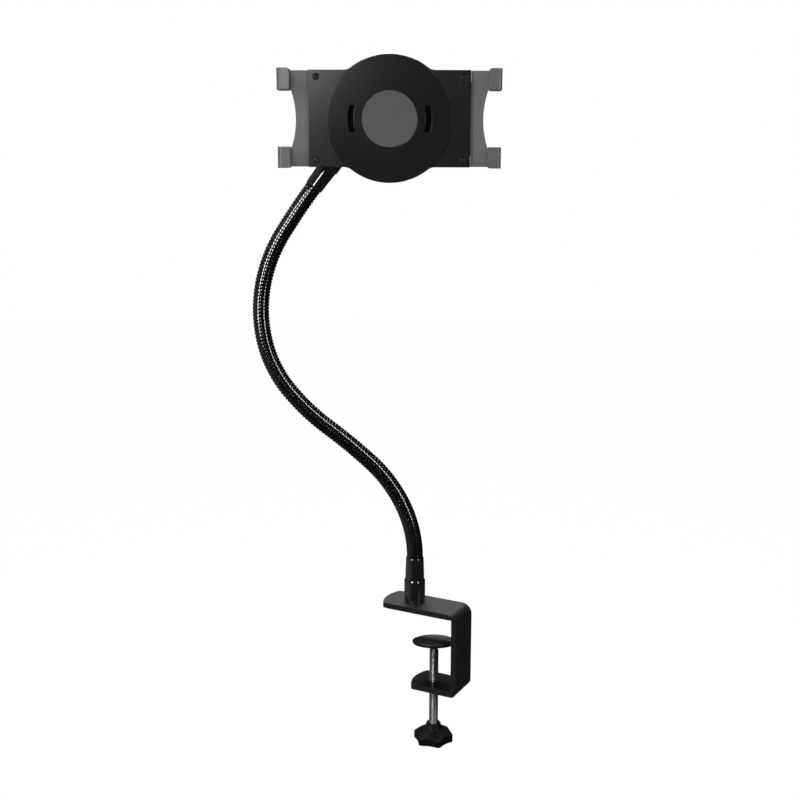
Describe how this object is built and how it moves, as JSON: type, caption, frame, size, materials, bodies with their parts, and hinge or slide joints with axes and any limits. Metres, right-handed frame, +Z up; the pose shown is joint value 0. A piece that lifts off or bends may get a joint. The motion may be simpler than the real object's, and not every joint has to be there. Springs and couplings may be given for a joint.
{
  "type": "tablet arm stand",
  "caption": "Clamp-on tablet stand: a C-shaped screw clamp, a ribbed bendable neck, and a tilting, turning holder with sprung arms and hooks.",
  "frame": {"origin": "underside of the pad under the clamp's upper jaw, below the axis of the neck's post, where the stand rests on the desk", "axes": "+X to the right of the picture, +Y to the rear, +Z up along the post; the tablet faces -Y"},
  "size_m": [0.2066, 0.0944, 0.5891],
  "materials": {
    "black_paint": "glossy black",
    "black_neck": "glossy black plating",
    "black_sleeve": "glossy black",
    "screw_steel": "bright zinc plated thread",
    "hidden_steel": "plain",
    "black_rubber": "matt",
    "knob_plastic": "fine grained black",
    "arm_plastic": "satin black",
    "cover_plastic": "satin black",
    "rear_plastic": "satin black",
    "grey_plastic": "satin grey",
    "hook_grey": "satin grey",
    "pad_grey": "matt grey",
    "gear_plastic": "natural"
  },
  "bodies": {
    "clamp": {"clamp_frame": "black_paint", "jaw_pad": "black_rubber", "post_collar": "black_sleeve", "collar_screw": "hidden_steel"},
    "neck_base": {"lower_ferrule": "black_sleeve", "neck_1": "black_neck"},
    "neck_link_2": {"neck_2": "black_neck"},
    "neck_link_3": {"neck_3": "black_neck"},
    "neck_link_4": {"neck_4": "black_neck"},
    "neck_link_5": {"neck_5": "black_neck"},
    "neck_link_6": {"neck_6": "black_neck"},
    "neck_link_7": {"neck_7": "black_neck"},
    "neck_head": {"neck_8": "black_neck", "upper_ferrule": "black_sleeve"},
    "tilt_arm": {"tilt_arm": "arm_plastic", "tilt_bolt": "hidden_steel", "tilt_washer": "gear_plastic"},
    "tilt_knob": {"tilt_knob": "knob_plastic"},
    "swivel": {"swivel_bracket": "arm_plastic", "swivel_washer": "hidden_steel", "swivel_screw": "hidden_steel"},
    "holder": {"front_cover": "cover_plastic", "rear_cover": "rear_plastic", "cover_screws": "hidden_steel", "centre_pad": "pad_grey", "left_spring": "hidden_steel", "right_spring": "hidden_steel"},
    "left_arm": {"left_arm": "grey_plastic", "left_hooks": "hook_grey"},
    "right_arm": {"right_arm": "grey_plastic", "right_hooks": "hook_grey"},
    "pinion": {"pinion": "gear_plastic"},
    "foot_ball": {"foot_ball": "hidden_steel"},
    "clamp_screw": {"clamp_screw": "screw_steel", "clamp_knob": "knob_plastic"},
    "foot": {"foot_dish": "black_paint", "foot_rubber": "black_rubber"}
  },
  "joints": [
    {"name": "neck_swivel", "type": "hinge", "parent": "clamp", "child": "neck_base", "pos_m": [0, 0, 0.0264], "axis": [0, 0, 1], "range_deg": [-170, 170]},
    {"name": "neck_bend_1", "type": "hinge", "parent": "neck_base", "child": "neck_link_2", "pos_m": [-0.01039, 0.00274, 0.09187], "axis": [0, 0.9919, -0.1271], "range_deg": [-14, 14]},
    {"name": "neck_bend_2", "type": "hinge", "parent": "neck_link_2", "child": "neck_link_3", "pos_m": [-0.03827, 0.00751, 0.12911], "axis": [-0.6756, -0.0937, -0.7313], "range_deg": [-14, 14]},
    {"name": "neck_bend_3", "type": "hinge", "parent": "neck_link_3", "child": "neck_link_4", "pos_m": [-0.07454, 0.01132, 0.15882], "axis": [0, 0.9919, -0.1271], "range_deg": [-14, 14]},
    {"name": "neck_bend_4", "type": "hinge", "parent": "neck_link_4", "child": "neck_link_5", "pos_m": [-0.10846, 0.01544, 0.19098], "axis": [-0.7749, -0.0803, -0.6269], "range_deg": [-14, 14]},
    {"name": "neck_bend_5", "type": "hinge", "parent": "neck_link_5", "child": "neck_link_6", "pos_m": [-0.12898, 0.02076, 0.23252], "axis": [0, 0.9919, -0.1271], "range_deg": [-14, 14]},
    {"name": "neck_bend_6", "type": "hinge", "parent": "neck_link_6", "child": "neck_link_7", "pos_m": [-0.13013, 0.0267, 0.27886], "axis": [-0.9842, 0.0225, 0.1756], "range_deg": [-14, 14]},
    {"name": "neck_bend_7", "type": "hinge", "parent": "neck_link_7", "child": "neck_head", "pos_m": [-0.1134, 0.03225, 0.32219], "axis": [0, 0.9919, -0.1271], "range_deg": [-14, 14]},
    {"name": "head_twist", "type": "hinge", "parent": "neck_head", "child": "tilt_arm", "pos_m": [-0.07501, 0.03924, 0.3768], "axis": [0.5962, 0.102, 0.7963], "range_deg": [-170, 170]},
    {"name": "head_tilt", "type": "hinge", "parent": "tilt_arm", "child": "swivel", "pos_m": [-0.03691, 0.04576, 0.42769], "axis": [0.8005, 0, -0.5994], "range_deg": [-100, 6]},
    {"name": "head_rotate", "type": "hinge", "parent": "swivel", "child": "holder", "pos_m": [-0.02243, 0.02176, 0.41684], "axis": [0, -1, 0], "continuous": true},
    {"name": "left_arm_slide", "type": "slide", "parent": "holder", "child": "left_arm", "axis": [-1, 0, 0], "range_m": [0, 0.042], "stiffness_N_per_m": 120, "springref_m": -0.03, "deforming": ["left_spring"]},
    {"name": "right_arm_slide", "type": "slide", "parent": "holder", "child": "right_arm", "axis": [1, 0, 0], "range_m": [0, 0.042], "stiffness_N_per_m": 120, "springref_m": -0.03, "deforming": ["right_spring"]},
    {"name": "pinion_spin", "type": "hinge", "parent": "holder", "child": "pinion", "pos_m": [-0.02243, 0.02176, 0.41684], "axis": [0, -1, 0], "range_deg": [0, 301]},
    {"name": "tilt_knob_turn", "type": "hinge", "parent": "tilt_arm", "child": "tilt_knob", "pos_m": [-0.03691, 0.04576, 0.42769], "axis": [0.8005, 0, -0.5994], "range_deg": [-90, 180]},
    {"name": "foot_slide", "type": "slide", "parent": "clamp", "child": "foot_ball", "axis": [0, 0, 1], "range_m": [-0.0286, 0.022]},
    {"name": "screw_turn", "type": "hinge", "parent": "foot_ball", "child": "clamp_screw", "pos_m": [0.01713, -0.00888, -0.0322], "axis": [0, 0, 1], "range_deg": [-8245, 6345]},
    {"name": "foot_tilt", "type": "hinge", "parent": "foot_ball", "child": "foot", "pos_m": [0.01713, -0.00888, -0.0322], "axis": [1, 0, 0], "range_deg": [-2, 18]}
  ],
  "couplings": [
    {"joint": "right_arm_slide", "follows": "left_arm_slide", "ratio": 1},
    {"joint": "pinion_spin", "follows": "left_arm_slide", "rad_per_m": 125},
    {"joint": "screw_turn", "follows": "foot_slide", "rad_per_m": 5026.5}
  ]
}
